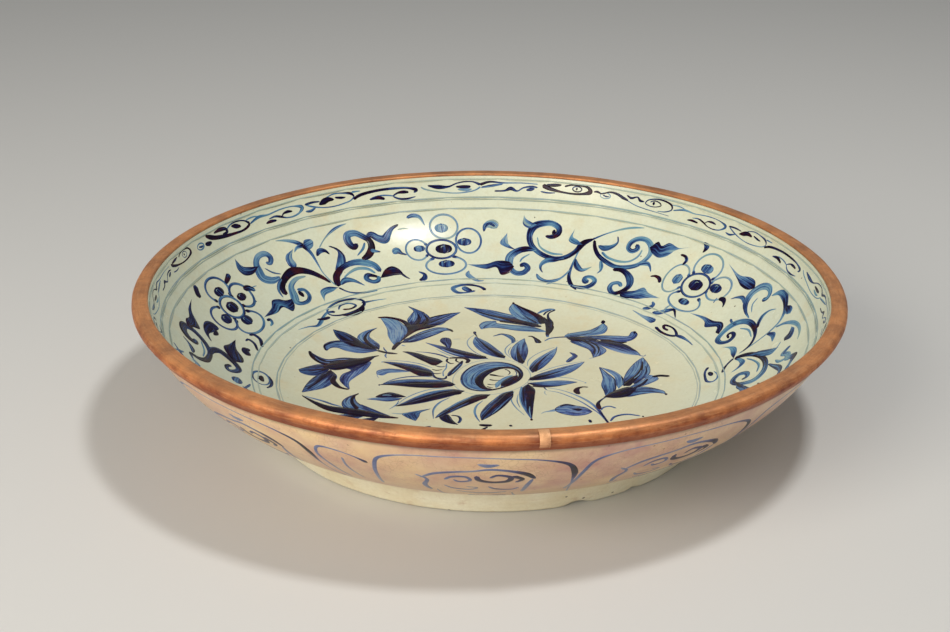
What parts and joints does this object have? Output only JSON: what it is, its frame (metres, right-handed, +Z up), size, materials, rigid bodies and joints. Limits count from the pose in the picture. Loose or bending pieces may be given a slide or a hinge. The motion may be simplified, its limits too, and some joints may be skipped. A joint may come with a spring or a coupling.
{
  "type": "dish",
  "caption": "Wide shallow glazed stoneware dish on a foot ring, with blue floral scroll decoration and a folded copper binding over its rim.",
  "frame": {"origin": "middle of the foot ring's resting face", "axes": "+Z up along the dish's axis, -Y towards the front of the picture"},
  "size_m": [0.36, 0.36, 0.0735],
  "materials": {
    "fired_clay": "bare fired clay, fine and chalky, pale cream",
    "inner_glaze": "clear cream glaze over white slip, cobalt painting under it",
    "outer_glaze": "buff crackled glaze with thin cobalt outlines under it",
    "base_wash": "thin chocolate brown wash, brushed",
    "rim_copper": "worn copper strip, satin, with brown patina",
    "cement": "dark resin bedding",
    "lap_solder": "pale worn patch over the strip's ends"
  },
  "bodies": {
    "root": {"stoneware_body": "fired_clay", "foot_ring": "fired_clay", "inner_glaze": "inner_glaze", "outer_glaze": "outer_glaze", "base_wash": "base_wash", "rim_binding": "rim_copper", "binding_cement": "cement", "binding_lap": "lap_solder"}
  },
  "joints": []
}
